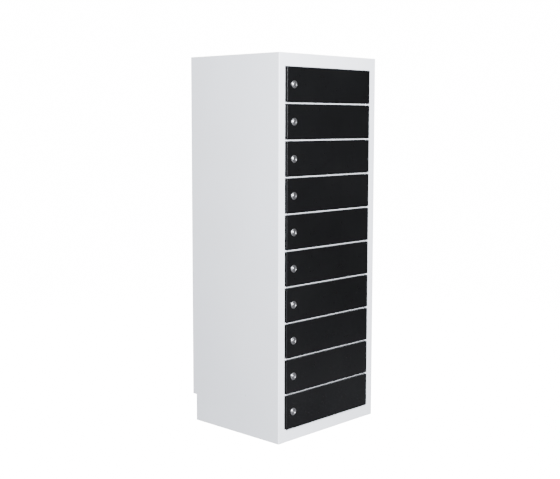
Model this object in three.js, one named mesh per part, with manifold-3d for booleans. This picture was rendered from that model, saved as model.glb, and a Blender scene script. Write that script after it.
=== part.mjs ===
// Phone charging kiosk: a free-standing steel cabinet with ten small compartments, one above the other.
// Ten tray-shaped doors share one hinge rod on the right, and each is locked by a cam lock on its left.
// Every compartment has a USB outlet in its rear wall; the power supply and wiring sit in a void behind it.
// Millimetres, +Z up, +X to the right seen from the front, +Y towards the rear.
// The origin is on the floor, at the centre of the footprint.

import * as THREE from "three";
import { mergeVertices } from "three/addons/utils/BufferGeometryUtils.js";
import Module from "manifold-3d";

// ---- Driving dimensions ----
const HEIGHT = 1000;
const WIDTH = 384;
const DEPTH = 330; // carcass only: the doors and locks stand in front of it
const SHEET = 1.2;
const CLEARANCE = 0.3; // between pieces that rest on each other

const CELLS = 10;
const PITCH = 93.6; // from one shelf to the next
const LIP_HEIGHT = 3.4; // the folded front edge of a shelf, which shows between two doors
const LIP_DEPTH = 12;
const STILE_LEFT = 23; // the strips of the front beside the doors
const STILE_RIGHT = 27.5;
const REVEAL_DEPTH = 11; // how far the edge of the front opening is folded inwards
const REAR_FLANGE = 17;

const DOOR_PROUD = 4.7; // how far a door's face stands in front of the carcass
const DOOR_DEPTH = 14;
const DOOR_GAP_SIDE = 2.5;
const DOOR_GAP_HEIGHT = 0.6;
const CORNER_RELIEF = 3.5; // the notch where two flanges of a door meet

const HINGE_INSET = 11.5; // from the right edge of the opening to the hinge rod
const HINGE_Y = 1.6;
const ROD_RADIUS = 2;
const ROD_HOLE_RADIUS = 2.4;
const ROD_ENGAGEMENT = 1.8; // how far the rod reaches past the opening, at each end
const LIP_NOTCH_WIDTH = 5.2;

const LOCK_INSET = 27; // from the left edge of the opening to the lock's axis
const BEZEL_RADIUS = 10;
const BEZEL_HEIGHT = 2.5;
const BARREL_RADIUS = 8;
const BARREL_REAR_Y = 12.6;
const PLUG_RADIUS = 5.4;
const NUT_ACROSS_FLATS = 22;
const NUT_HEIGHT = 4;
const CAM_LENGTH = 34;
const CAM_WIDTH = 12;
const CAM_THICKNESS = 2;

const PARTITION_Y = 285; // front face of the compartments' rear wall
const SOCKET = {
  plateWidth: 52,
  plateHeight: 28,
  plateDepth: 2,
  bodyWidth: 38,
  bodyHeight: 18,
  bodyDepth: 26,
};
const USB_PORT = { width: 13, height: 5.6, depth: 12, spacing: 19 };

const SKIRTING_HEIGHT = 73; // the step at the bottom rear, which clears a room's skirting board
const SKIRTING_DEPTH = 15;
const SIDE_HOLE = { y: 123, z: 105.6, radius: 1.5 };

const POWER_SUPPLY = { width: 110, depth: 34, height: 180, left: 40, bottom: 130 };
const INLET = {
  x: 95,
  z: 101,
  flangeWidth: 50,
  flangeHeight: 27,
  bodyWidth: 30,
  bodyHeight: 22,
  bodyDepth: 22,
};
const PIN = { width: 2, height: 5, length: 13 };
const MAINS_LEAD = { y: 314, radius: 3.5 };
const LOOM = { x: -60, y: 306, radius: 4, branchRadius: 2.5, feedZ: 145 };

// ---- Places worked out from them ----
const LEFT = -WIDTH / 2;
const RIGHT = WIDTH / 2;
const OPENING_LEFT = LEFT + STILE_LEFT;
const OPENING_RIGHT = RIGHT - STILE_RIGHT;
const CELL_HEIGHT = PITCH - LIP_HEIGHT;
const OPENING_HEIGHT = CELLS * PITCH - LIP_HEIGHT;
const OPENING_BOTTOM = (HEIGHT - OPENING_HEIGHT) / 2;
const OPENING_TOP = OPENING_BOTTOM + OPENING_HEIGHT;
const HINGE_X = OPENING_RIGHT - HINGE_INSET;
const LOCK_X = OPENING_LEFT + LOCK_INSET;
const DOOR_FRONT = -DOOR_PROUD;
const DOOR_REAR = DOOR_FRONT + DOOR_DEPTH;
const BEZEL_FRONT = DOOR_FRONT - CLEARANCE - BEZEL_HEIGHT;
const PLUG_FRONT = BEZEL_FRONT + 0.2;
const INNER_LEFT = LEFT + SHEET + CLEARANCE;
const INNER_RIGHT = RIGHT - SHEET - CLEARANCE;
const BACK_Y = DEPTH - SHEET - 2 * CLEARANCE - SHEET; // front face of the rear cover
const VOID_FRONT = PARTITION_Y + SHEET;

const cellCentre = (number) => OPENING_TOP - CELL_HEIGHT / 2 - (number - 1) * PITCH;
const twoDigits = (number) => String(number).padStart(2, "0");

// ---- Solids ----
const wasm = await Module();
wasm.setup();

function solid(geometry) {
  const bare = geometry.clone();
  bare.deleteAttribute("normal");
  bare.deleteAttribute("uv");
  const merged = mergeVertices(bare, 1e-4);
  return new wasm.Manifold(
    new wasm.Mesh({
      numProp: 3,
      vertProperties: new Float32Array(merged.attributes.position.array),
      triVerts: new Uint32Array(merged.index.array),
    }),
  );
}

function geometryOf(manifold) {
  const mesh = manifold.getMesh();
  const geometry = new THREE.BufferGeometry();
  geometry.setAttribute("position", new THREE.BufferAttribute(mesh.vertProperties, 3));
  geometry.setIndex(new THREE.BufferAttribute(mesh.triVerts, 1));
  geometry.computeVertexNormals();
  return geometry;
}

function box([x0, x1], [y0, y1], [z0, z1]) {
  const geometry = new THREE.BoxGeometry(x1 - x0, y1 - y0, z1 - z0);
  return solid(geometry.translate((x0 + x1) / 2, (y0 + y1) / 2, (z0 + z1) / 2));
}

// Cylinders along each axis, between two places on it.
function cylinderY(radius, x, z, y0, y1, sides = 16) {
  const geometry = new THREE.CylinderGeometry(radius, radius, y1 - y0, sides);
  return solid(geometry.translate(x, (y0 + y1) / 2, z));
}

function cylinderZ(radius, x, y, z0, z1, sides = 16) {
  const geometry = new THREE.CylinderGeometry(radius, radius, z1 - z0, sides).rotateX(Math.PI / 2);
  return solid(geometry.translate(x, y, (z0 + z1) / 2));
}

function cylinderX(radius, y, z, x0, x1, sides = 10) {
  const geometry = new THREE.CylinderGeometry(radius, radius, x1 - x0, sides).rotateZ(Math.PI / 2);
  return solid(geometry.translate((x0 + x1) / 2, y, z));
}

// An outline in X and Y, as points, raised from z0 to z1.
function prismZ(points, z0, z1) {
  const shape = new THREE.Shape(points.map(([x, y]) => new THREE.Vector2(x, y)));
  const geometry = new THREE.ExtrudeGeometry(shape, { depth: z1 - z0, bevelEnabled: false });
  return solid(geometry.translate(0, 0, z0));
}

const join = (pieces) => pieces.reduce((whole, piece) => whole.add(piece));
const cut = (whole, holes) => holes.reduce((rest, hole) => rest.subtract(hole), whole);

// ---- Materials ----
const paint = (color) => new THREE.MeshStandardMaterial({ color, roughness: 0.5, metalness: 0 });
const WHITE_PAINT = paint(0xe4e6ea);
const BLACK_PAINT = paint(0x1c1c1e);
const CHROME = new THREE.MeshStandardMaterial({ color: 0xc8c8ca, roughness: 0.2, metalness: 1 });
const ZINC = new THREE.MeshStandardMaterial({ color: 0xa8abb0, roughness: 0.4, metalness: 1 });
const BLACK_PLASTIC = new THREE.MeshStandardMaterial({ color: 0x202022, roughness: 0.6, metalness: 0 });
const CASE_ALUMINIUM = new THREE.MeshStandardMaterial({ color: 0xb4b6b8, roughness: 0.45, metalness: 1 });

const locker = new THREE.Group();
locker.position.y = -(BEZEL_FRONT + DEPTH) / 2;

function place(name, manifold, material, z = 0) {
  const mesh = new THREE.Mesh(manifold.isBufferGeometry ? manifold : geometryOf(manifold), material);
  mesh.name = name;
  mesh.position.z = z;
  locker.add(mesh);
}

// ---- Carcass ----
// A side is one folded sheet: the edge of the opening, the strip of the front, the side and a rear flange.
// outer is the outside face, facing is +1 where the cabinet lies towards +X, and stile is the strip's width.
function sidePanel(outer, facing, stile) {
  const at = (inset, y) => [outer + facing * inset, y];
  const outline = [
    at(0, 0),
    at(stile, 0),
    at(stile, REVEAL_DEPTH),
    at(stile - SHEET, REVEAL_DEPTH),
    at(stile - SHEET, SHEET),
    at(SHEET, SHEET),
    at(SHEET, DEPTH - SHEET),
    at(REAR_FLANGE, DEPTH - SHEET),
    at(REAR_FLANGE, DEPTH),
    at(0, DEPTH),
  ];
  if (facing < 0) {
    outline.reverse();
  }
  const across = (from, to) => [outer + facing * from, outer + facing * to].sort((a, b) => a - b);
  return cut(prismZ(outline, 0, HEIGHT), [
    box(across(-1, REAR_FLANGE + 1), [DEPTH - SKIRTING_DEPTH, DEPTH + 1], [-1, SKIRTING_HEIGHT]),
    box(across(SHEET, stile + 1), [SHEET, REVEAL_DEPTH + 1], [HEIGHT - SHEET - CLEARANCE, HEIGHT + 1]),
  ]);
}

function sideHole() {
  return cylinderX(SIDE_HOLE.radius, SIDE_HOLE.y, SIDE_HOLE.z, LEFT - 1, LEFT + SHEET + 1, 12);
}

const BETWEEN_STILES = [OPENING_LEFT + CLEARANCE, OPENING_RIGHT - CLEARANCE];
const BETWEEN_SIDES = [INNER_LEFT, INNER_RIGHT];
const BEHIND_REVEAL = REVEAL_DEPTH + CLEARANCE;

// A level sheet that reaches the front between the stiles, and fills the cabinet's width behind them.
function levelSheet(rear, bottom, top) {
  return box(BETWEEN_STILES, [0, BEHIND_REVEAL + 1], [bottom, top]).add(
    box(BETWEEN_SIDES, [BEHIND_REVEAL, rear], [bottom, top]),
  );
}

const rodHole = (radius, z0, z1) => cylinderZ(radius, HINGE_X, HINGE_Y, z0, z1, 12);

function topPanel() {
  const underEdge = OPENING_TOP + SHEET;
  const flangeSides = [LEFT + REAR_FLANGE + CLEARANCE, RIGHT - REAR_FLANGE - CLEARANCE];
  const pieces = [
    box(BETWEEN_STILES, [0, SHEET], [OPENING_TOP, HEIGHT]),
    box(BETWEEN_STILES, [0, REVEAL_DEPTH], [OPENING_TOP, underEdge]),
    box(BETWEEN_STILES, [0, DEPTH - SHEET], [HEIGHT - SHEET, HEIGHT]),
    box(BETWEEN_SIDES, [SHEET + CLEARANCE, DEPTH - SHEET - CLEARANCE], [HEIGHT - SHEET, HEIGHT]),
    box(flangeSides, [DEPTH - SHEET, DEPTH], [HEIGHT - REAR_FLANGE, HEIGHT]),
    box(flangeSides, [DEPTH - 2 * SHEET, DEPTH], [HEIGHT - SHEET, HEIGHT]),
  ];
  return join(pieces).subtract(rodHole(ROD_HOLE_RADIUS, OPENING_TOP - 1, underEdge + 1));
}

// The floor of the lowest compartment, the strip of the front below it and the stepped kick plate behind.
function basePanel() {
  const kickFront = DEPTH - SKIRTING_DEPTH - SHEET;
  const foot = 20;
  const pieces = [
    levelSheet(kickFront + SHEET, OPENING_BOTTOM - SHEET, OPENING_BOTTOM),
    box(BETWEEN_STILES, [0, SHEET], [0, OPENING_BOTTOM]),
    box(BETWEEN_STILES, [0, foot], [0, SHEET]),
    box(BETWEEN_SIDES, [kickFront, kickFront + SHEET], [0, SKIRTING_HEIGHT + SHEET]),
    box(BETWEEN_SIDES, [kickFront - foot, kickFront + SHEET], [0, SHEET]),
    box(BETWEEN_SIDES, [kickFront, BACK_Y + SHEET], [SKIRTING_HEIGHT, SKIRTING_HEIGHT + SHEET]),
  ];
  return join(pieces).subtract(rodHole(ROD_HOLE_RADIUS, OPENING_BOTTOM - SHEET - 1, OPENING_BOTTOM + 1));
}

function shelf() {
  const lipBottom = -LIP_HEIGHT / 2;
  const lipTop = LIP_HEIGHT / 2;
  const flangeDepth = [BEHIND_REVEAL, PARTITION_Y - CLEARANCE];
  const pieces = [
    levelSheet(PARTITION_Y - CLEARANCE, lipTop - SHEET, lipTop),
    box(BETWEEN_STILES, [0, SHEET], [lipBottom, lipTop]),
    box(BETWEEN_STILES, [0, LIP_DEPTH], [lipBottom, lipBottom + SHEET]),
    box([INNER_LEFT, INNER_LEFT + SHEET], flangeDepth, [lipTop - LIP_DEPTH, lipTop]),
    box([INNER_RIGHT - SHEET, INNER_RIGHT], flangeDepth, [lipTop - LIP_DEPTH, lipTop]),
  ];
  const notchSides = [HINGE_X - LIP_NOTCH_WIDTH / 2, HINGE_X + LIP_NOTCH_WIDTH / 2];
  const notchRear = HINGE_Y + ROD_RADIUS + CLEARANCE;
  return join(pieces).subtract(box(notchSides, [-1, notchRear], [lipBottom - 1, lipTop + 1]));
}

function partitionPanel() {
  const height = [OPENING_BOTTOM + CLEARANCE, HEIGHT - SHEET - CLEARANCE];
  const wall = box(BETWEEN_SIDES, [PARTITION_Y, VOID_FRONT], height);
  const half = [SOCKET.bodyWidth / 2 + CLEARANCE, SOCKET.bodyHeight / 2 + CLEARANCE];
  const windows = [];
  for (let number = 1; number <= CELLS; number += 1) {
    const z = cellCentre(number);
    windows.push(box([-half[0], half[0]], [PARTITION_Y - 1, VOID_FRONT + 1], [z - half[1], z + half[1]]));
  }
  return cut(wall, windows);
}

// The rear cover has two columns of ventilation slots, two holes for fixing to a wall and the inlet's window.
function backPanel() {
  const bottom = SKIRTING_HEIGHT + SHEET + CLEARANCE;
  const cover = box(BETWEEN_SIDES, [BACK_Y, BACK_Y + SHEET], [bottom, HEIGHT - SHEET - CLEARANCE]);
  const through = [BACK_Y - 1, BACK_Y + SHEET + 1];
  const slot = { width: 60, height: 4, rows: 8, pitch: 12 };
  const holes = [];
  for (const x of [-80, 80]) {
    for (const lowest of [180, 800]) {
      for (let row = 0; row < slot.rows; row += 1) {
        const z = lowest + row * slot.pitch;
        holes.push(box([x - slot.width / 2, x + slot.width / 2], through, [z, z + slot.height]));
      }
    }
    holes.push(cylinderY(3.5, 1.75 * x, 950, ...through, 12));
  }
  const halfWidth = INLET.bodyWidth / 2 + CLEARANCE;
  const halfHeight = INLET.bodyHeight / 2 + CLEARANCE;
  holes.push(
    box([INLET.x - halfWidth, INLET.x + halfWidth], through, [INLET.z - halfHeight, INLET.z + halfHeight]),
  );
  return cut(cover, holes);
}

// ---- Doors and their hinge rod ----
// A door is a tray: its face, and four flanges folded back. z is measured from the middle of its compartment.
function door() {
  const left = OPENING_LEFT + DOOR_GAP_SIDE;
  const right = OPENING_RIGHT - DOOR_GAP_SIDE;
  const half = CELL_HEIGHT / 2 - DOOR_GAP_HEIGHT;
  const flangeX = [left + CORNER_RELIEF, right - CORNER_RELIEF];
  const flangeZ = [-half + CORNER_RELIEF, half - CORNER_RELIEF];
  const depth = [DOOR_FRONT, DOOR_REAR];
  const pieces = [
    box([left, right], [DOOR_FRONT, DOOR_FRONT + SHEET], [-half, half]),
    box(flangeX, depth, [half - SHEET, half]),
    box(flangeX, depth, [-half, -half + SHEET]),
    box([left, left + SHEET], depth, flangeZ),
    box([right - SHEET, right], depth, flangeZ),
  ];
  return cut(join(pieces), [
    rodHole(ROD_HOLE_RADIUS, -half - 1, half + 1),
    cylinderY(BARREL_RADIUS + CLEARANCE, LOCK_X, 0, DOOR_FRONT - 1, DOOR_FRONT + SHEET + 1),
  ]);
}

function hingeRod() {
  const bottom = OPENING_BOTTOM - ROD_ENGAGEMENT;
  const top = OPENING_TOP + ROD_ENGAGEMENT;
  return cylinderZ(ROD_RADIUS, HINGE_X, HINGE_Y, bottom, top, 12);
}

// ---- Cam locks ----
// The fixed half of a lock: bezel, barrel and the nut that clamps the door's face between them.
function lockBody() {
  const front = BEZEL_FRONT;
  const back = front + BEZEL_HEIGHT;
  const bore = PLUG_RADIUS + CLEARANCE;
  const chamfer = 1;
  const profile = [
    [bore, front],
    [BEZEL_RADIUS - chamfer, front],
    [BEZEL_RADIUS, front + chamfer],
    [BEZEL_RADIUS, back],
    [BARREL_RADIUS, back],
    [BARREL_RADIUS, BARREL_REAR_Y],
    [bore, BARREL_REAR_Y],
    [bore, front],
  ].map(([radius, y]) => new THREE.Vector2(radius, y));
  const turned = solid(new THREE.LatheGeometry(profile, 16).translate(LOCK_X, 0, 0));
  const nutFront = DOOR_FRONT + SHEET + CLEARANCE;
  const nut = cylinderY(NUT_ACROSS_FLATS / Math.sqrt(3), LOCK_X, 0, nutFront, nutFront + NUT_HEIGHT, 6);
  return turned.add(cut(nut, [cylinderY(bore, LOCK_X, 0, nutFront - 1, nutFront + NUT_HEIGHT + 1)]));
}

// The turning half: plug with its keyway, and the cam screwed to the plug's end, hanging down when unlocked.
function lockPlug() {
  const front = PLUG_FRONT;
  const camFront = BARREL_REAR_Y + 0.9;
  const camRear = camFront + CAM_THICKNESS;
  const plug = cylinderY(PLUG_RADIUS, LOCK_X, 0, front, camFront + CAM_THICKNESS / 2);
  const keyway = box([LOCK_X - 0.8, LOCK_X + 0.8], [front - 1, front + 9], [-3.4, 3.4]);
  const outline = new THREE.Shape();
  const half = CAM_WIDTH / 2;
  outline.absarc(0, 0, half + 1.5, 0, Math.PI, false);
  outline.lineTo(-half, -CAM_LENGTH + 2);
  outline.lineTo(-half + 2, -CAM_LENGTH);
  outline.lineTo(half - 2, -CAM_LENGTH);
  outline.lineTo(half, -CAM_LENGTH + 2);
  const options = { depth: CAM_THICKNESS, bevelEnabled: false, curveSegments: 6 };
  const flat = new THREE.ExtrudeGeometry(outline, options);
  const cam = solid(flat.rotateX(Math.PI / 2).translate(LOCK_X, camRear, 0));
  const screw = cylinderY(4.5, LOCK_X, 0, camRear - 0.5, camRear + 2.5, 12);
  return join([plug.subtract(keyway), cam, screw]);
}

// ---- Charging ----
function usbSocket() {
  const plateFront = PARTITION_Y - CLEARANCE - SOCKET.plateDepth;
  const bodyHalf = [SOCKET.bodyWidth / 2, SOCKET.bodyHeight / 2];
  const plateHalf = [SOCKET.plateWidth / 2, SOCKET.plateHeight / 2];
  const plate = box(
    [-plateHalf[0], plateHalf[0]],
    [plateFront, plateFront + SOCKET.plateDepth],
    [-plateHalf[1], plateHalf[1]],
  );
  const body = box(
    [-bodyHalf[0], bodyHalf[0]],
    [plateFront + 1, plateFront + SOCKET.bodyDepth],
    [-bodyHalf[1], bodyHalf[1]],
  );
  const ports = [-1, 1].map((side) => {
    const x = (side * USB_PORT.spacing) / 2;
    const across = [x - USB_PORT.width / 2, x + USB_PORT.width / 2];
    const upright = [-USB_PORT.height / 2, USB_PORT.height / 2];
    return box(across, [plateFront - 1, plateFront + USB_PORT.depth], upright);
  });
  return cut(plate.add(body), ports);
}

function powerSupply() {
  const { left, bottom, width, height, depth } = POWER_SUPPLY;
  const front = VOID_FRONT + CLEARANCE;
  return box([left, left + width], [front, front + depth], [bottom, bottom + height]);
}

// The mains inlet is clamped from inside: its flange lies behind the cover and its mouth fills the window.
function mainsInlet() {
  const flangeRear = BACK_Y - CLEARANCE;
  const mouth = BACK_Y + SHEET;
  const across = (width) => [INLET.x - width / 2, INLET.x + width / 2];
  const upright = (height) => [INLET.z - height / 2, INLET.z + height / 2];
  const shell = join([
    box(across(INLET.flangeWidth), [flangeRear - 2.5, flangeRear], upright(INLET.flangeHeight)),
    box(across(INLET.bodyWidth), [mouth - INLET.bodyDepth, mouth], upright(INLET.bodyHeight)),
  ]);
  const socketDepth = INLET.bodyDepth - 4;
  const depth = [mouth - socketDepth, mouth + 1];
  const socket = box(across(INLET.bodyWidth - 4), depth, upright(INLET.bodyHeight - 4));
  const pins = [[-7, -1.5], [0, 2.5], [7, -1.5]].map(([dx, dz]) => {
    const x = [INLET.x + dx - PIN.width / 2, INLET.x + dx + PIN.width / 2];
    const z = [INLET.z + dz - PIN.height / 2, INLET.z + dz + PIN.height / 2];
    return box(x, [mouth - socketDepth - 1, mouth - socketDepth + PIN.length], z);
  });
  return join([shell.subtract(socket), ...pins]);
}

function mainsLead() {
  const bottom = INLET.z + INLET.bodyHeight / 2 + CLEARANCE;
  return cylinderZ(MAINS_LEAD.radius, INLET.x, MAINS_LEAD.y, bottom, POWER_SUPPLY.bottom - CLEARANCE, 10);
}

// One trunk up the void, a branch to each outlet and a feed from the power supply.
function wiringLoom() {
  const outletSide = -SOCKET.bodyWidth / 2 - CLEARANCE;
  const trunk = cylinderZ(LOOM.radius, LOOM.x, LOOM.y, cellCentre(CELLS) - 10, cellCentre(1) + 10, 10);
  const runs = [cylinderX(LOOM.radius, LOOM.y, LOOM.feedZ, LOOM.x, POWER_SUPPLY.left - CLEARANCE)];
  for (let number = 1; number <= CELLS; number += 1) {
    runs.push(cylinderX(LOOM.branchRadius, LOOM.y, cellCentre(number), LOOM.x, outletSide, 8));
  }
  return join([trunk, ...runs]);
}

// ---- The locker ----
place("side_panel_left", sidePanel(LEFT, 1, STILE_LEFT).subtract(sideHole()), WHITE_PAINT);
place("side_panel_right", sidePanel(RIGHT, -1, STILE_RIGHT), WHITE_PAINT);
place("top_panel", topPanel(), WHITE_PAINT);
place("base_panel", basePanel(), WHITE_PAINT);
place("back_panel", backPanel(), WHITE_PAINT);
place("partition_panel", partitionPanel(), WHITE_PAINT);
place("hinge_rod", hingeRod(), ZINC);
place("power_supply", powerSupply(), CASE_ALUMINIUM);
place("mains_inlet", mainsInlet(), BLACK_PLASTIC);
place("mains_lead", mainsLead(), BLACK_PLASTIC);
place("wiring_loom", wiringLoom(), BLACK_PLASTIC);

const shelfGeometry = geometryOf(shelf());
for (let number = 1; number < CELLS; number += 1) {
  place("shelf_" + twoDigits(number), shelfGeometry, WHITE_PAINT, cellCentre(number) - PITCH / 2);
}

const doorGeometry = geometryOf(door());
const lockBodyGeometry = geometryOf(lockBody());
const lockPlugGeometry = geometryOf(lockPlug());
const socketGeometry = geometryOf(usbSocket());
for (let number = 1; number <= CELLS; number += 1) {
  const z = cellCentre(number);
  place("door_" + twoDigits(number), doorGeometry, BLACK_PAINT, z);
  place("lock_body_" + twoDigits(number), lockBodyGeometry, CHROME, z);
  place("lock_plug_" + twoDigits(number), lockPlugGeometry, CHROME, z);
  place("usb_socket_" + twoDigits(number), socketGeometry, BLACK_PLASTIC, z);
}

export default locker;
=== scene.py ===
"""Looks for a phone charging locker: a white steel cabinet with ten black doors, each with a cam lock."""

import math

import bmesh
import bpy
from mathutils import Matrix, Quaternion, Vector


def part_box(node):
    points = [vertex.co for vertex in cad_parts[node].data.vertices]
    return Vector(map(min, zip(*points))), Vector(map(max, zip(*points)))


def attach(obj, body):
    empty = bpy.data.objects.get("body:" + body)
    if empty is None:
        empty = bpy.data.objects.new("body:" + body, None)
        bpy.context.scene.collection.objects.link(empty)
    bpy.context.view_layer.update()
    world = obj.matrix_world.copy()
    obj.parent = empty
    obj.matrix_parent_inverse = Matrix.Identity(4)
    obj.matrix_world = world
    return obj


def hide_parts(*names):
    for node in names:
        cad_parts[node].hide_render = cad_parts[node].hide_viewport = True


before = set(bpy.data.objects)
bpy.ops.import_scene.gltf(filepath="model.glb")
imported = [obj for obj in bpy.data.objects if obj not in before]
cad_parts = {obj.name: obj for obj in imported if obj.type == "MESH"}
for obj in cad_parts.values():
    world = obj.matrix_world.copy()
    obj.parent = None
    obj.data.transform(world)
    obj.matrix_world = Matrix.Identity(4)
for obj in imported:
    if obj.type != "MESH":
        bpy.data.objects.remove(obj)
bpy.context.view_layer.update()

# ---- Sizes, in metres, worked out from the frame ----
MM = 0.001
SHEET = 1.2 * MM
BEND = 2.5 * MM  # outside radius of the carcass's folds
TIGHT_BEND = 1.6 * MM  # outside radius of the folds round the front opening
EDGE = 0.35 * MM  # how far a cut edge is broken
PAST = 10 * MM  # how far a cutter runs past what it cuts
CELLS = 10
CABINET = "cabinet"

LEFT_LO, LEFT_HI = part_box("side_panel_left")
RIGHT_LO, RIGHT_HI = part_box("side_panel_right")
TOP_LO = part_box("top_panel")[0]
COVER_LO, COVER_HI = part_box("back_panel")
WALL_LO, WALL_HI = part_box("partition_panel")
ROD_LO, ROD_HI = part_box("hinge_rod")
SUPPLY_LO, SUPPLY_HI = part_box("power_supply")
INLET_LO, INLET_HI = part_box("mains_inlet")
LEAD_LO, LEAD_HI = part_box("mains_lead")

LEFT = LEFT_LO[0]
RIGHT = RIGHT_HI[0]
HEIGHT = LEFT_HI[2]
FRONT = LEFT_LO[1]
REAR = LEFT_HI[1]
OPENING_LEFT = LEFT_HI[0]
OPENING_RIGHT = RIGHT_LO[0]
OPENING_BOTTOM = WALL_LO[2] - 0.3 * MM
OPENING_TOP = TOP_LO[2]
REVEAL = 11 * MM
BAND_OVERLAP = 4 * MM  # the bands above and below the doors run this far past the opening's sides
REAR_FLANGE = 17 * MM
SIDE_HOLE = {"radius": 1.5 * MM, "behind_front": 123 * MM, "height": 105.6 * MM}
DOOR_GAP = 0.6 * MM  # between a door and the lip above or below it
LIP_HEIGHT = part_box("door_01")[0][2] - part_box("door_02")[1][2] - 2 * DOOR_GAP
LIP_DEPTH = 12 * MM
SKIRTING = (15 * MM, 73 * MM)  # depth and height of the step at the bottom rear
HINGE_X = (ROD_LO[0] + ROD_HI[0]) / 2
HINGE_Y = (ROD_LO[1] + ROD_HI[1]) / 2
ROD_RADIUS = (ROD_HI[0] - ROD_LO[0]) / 2
ROD_HOLE_RADIUS = ROD_RADIUS + 0.4 * MM
INNER_LEFT = LEFT + SHEET
INNER_RIGHT = RIGHT - SHEET

TWO_DIGITS = [f"{number:02d}" for number in range(1, CELLS + 1)]


def middle(node):
    low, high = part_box(node)
    return [(low[axis] + high[axis]) / 2 for axis in range(3)]


# ---- Mesh helpers ----
def new_object(name, bm):
    mesh = bpy.data.meshes.new(name)
    bmesh.ops.recalc_face_normals(bm, faces=bm.faces)
    bm.to_mesh(mesh)
    bm.free()
    obj = bpy.data.objects.new(name, mesh)
    bpy.context.scene.collection.objects.link(obj)
    return obj


def add_box(bm, x, y, z):
    size = [x[1] - x[0], y[1] - y[0], z[1] - z[0]]
    centre = Vector([(x[0] + x[1]) / 2, (y[0] + y[1]) / 2, (z[0] + z[1]) / 2])
    matrix = Matrix.Translation(centre) @ Matrix.Diagonal([*size, 1])
    bmesh.ops.create_cube(bm, size=1, matrix=matrix)


def add_prism(bm, outline, axis, start, end):
    """Raises a flat outline along axis. The outline's points are the two other axes, in X, Y, Z order."""
    rings = []
    for level in (start, end):
        ring = []
        for point in outline:
            place = list(point)
            place.insert(axis, level)
            ring.append(bm.verts.new(place))
        rings.append(ring)
    count = len(outline)
    for step in range(count):
        after = (step + 1) % count
        bm.faces.new([rings[0][step], rings[0][after], rings[1][after], rings[1][step]])
    bm.faces.new(rings[0])
    bm.faces.new(rings[1])


def add_lathe(bm, profile, centre, sides=48):
    """Turns a closed profile of (radius, depth) about the Y axis through centre."""
    rings = []
    for step in range(sides):
        angle = 2 * math.pi * step / sides
        ring = []
        for radius, depth in profile:
            x = centre[0] + radius * math.cos(angle)
            z = centre[2] + radius * math.sin(angle)
            ring.append(bm.verts.new((x, centre[1] + depth, z)))
        rings.append(ring)
    count = len(profile)
    for step in range(sides):
        near, far = rings[step], rings[(step + 1) % sides]
        for point in range(count):
            after = (point + 1) % count
            bm.faces.new([near[point], near[after], far[after], far[point]])
    bmesh.ops.remove_doubles(bm, verts=bm.verts, dist=1e-7)


def disc(radius, sides, centre=(0, 0)):
    points = []
    for step in range(sides):
        angle = 2 * math.pi * step / sides
        points.append((centre[0] + radius * math.cos(angle), centre[1] + radius * math.sin(angle)))
    return points


def rounded_rectangle(half_width, half_height, radius, centre=(0, 0)):
    points = []
    steps = 5
    corners = ((1, 1, 0), (-1, 1, 90), (-1, -1, 180), (1, -1, 270))
    for side_x, side_z, first in corners:
        x = centre[0] + side_x * (half_width - radius)
        z = centre[1] + side_z * (half_height - radius)
        for step in range(steps + 1):
            angle = math.radians(first + 90 * step / steps)
            points.append((x + radius * math.cos(angle), z + radius * math.sin(angle)))
    return points


def fillet(before, corner, after, radius):
    """The points of an arc that rounds a corner."""
    steps = 6
    towards_before = (before - corner).normalized()
    towards_after = (after - corner).normalized()
    half = towards_before.angle(towards_after) / 2
    reach = radius / math.tan(half)
    bisector = (towards_before + towards_after).normalized()
    centre = corner + bisector * (radius / math.sin(half))
    start = corner + towards_before * reach - centre
    end = corner + towards_after * reach - centre
    points = []
    for step in range(steps + 1):
        direction = start.lerp(end, step / steps).normalized()
        points.append(centre + direction * radius)
    return points


def folded(path, thickness, bend):
    """Outline of a folded sheet: one face follows path, the other lies thickness to the left of it."""
    path = [Vector(point) for point in path]
    normals = []
    for start, end in zip(path, path[1:]):
        along = (end - start).normalized()
        normals.append(Vector((-along.y, along.x)))
    near, far = [path[0]], [path[0] + normals[0] * thickness]
    for number in range(1, len(path) - 1):
        first, second = normals[number - 1], normals[number]
        turns_left = first.x * second.y - first.y * second.x > 0
        corner = path[number]
        mitre = corner + (first + second) * (thickness / (1 + first.dot(second)))
        inner = max(bend - thickness, 0.3 * MM)
        before, after = path[number - 1] - corner, path[number + 1] - corner
        near += fillet(corner + before, corner, corner + after, bend if turns_left else inner)
        far += fillet(mitre + before, mitre, mitre + after, inner if turns_left else bend)
    near.append(path[-1])
    far.append(path[-1] + normals[-1] * thickness)
    return [tuple(point) for point in near + far[::-1]]


def bake(obj):
    """Makes the result of the modifiers the object's own mesh."""
    graph = bpy.context.evaluated_depsgraph_get()
    mesh = bpy.data.meshes.new_from_object(obj.evaluated_get(graph))
    obj.modifiers.clear()
    obj.data = mesh


def cut(obj, cutter_mesh):
    """Takes the solids in a bmesh away from an object."""
    cutter = new_object("cutter", cutter_mesh)
    modifier = obj.modifiers.new("cut", "BOOLEAN")
    modifier.operation = "DIFFERENCE"
    modifier.solver = "EXACT"
    modifier.object = cutter
    bake(obj)
    bpy.data.objects.remove(cutter)


def soften(obj, width=EDGE, segments=2):
    """Breaks the sharp edges."""
    modifier = obj.modifiers.new("edges", "BEVEL")
    modifier.width = width
    modifier.segments = segments
    modifier.limit_method = "ANGLE"
    modifier.angle_limit = math.radians(50)
    bake(obj)


def smooth(obj):
    """Rounds the shading across small steps and keeps the large flats flat."""
    obj.data.shade_smooth()
    obj.data.set_sharp_from_angle(angle=math.radians(35))
    modifier = obj.modifiers.new("flats", "WEIGHTED_NORMAL")
    modifier.weight = 100
    modifier.keep_sharp = True
    bake(obj)


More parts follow.
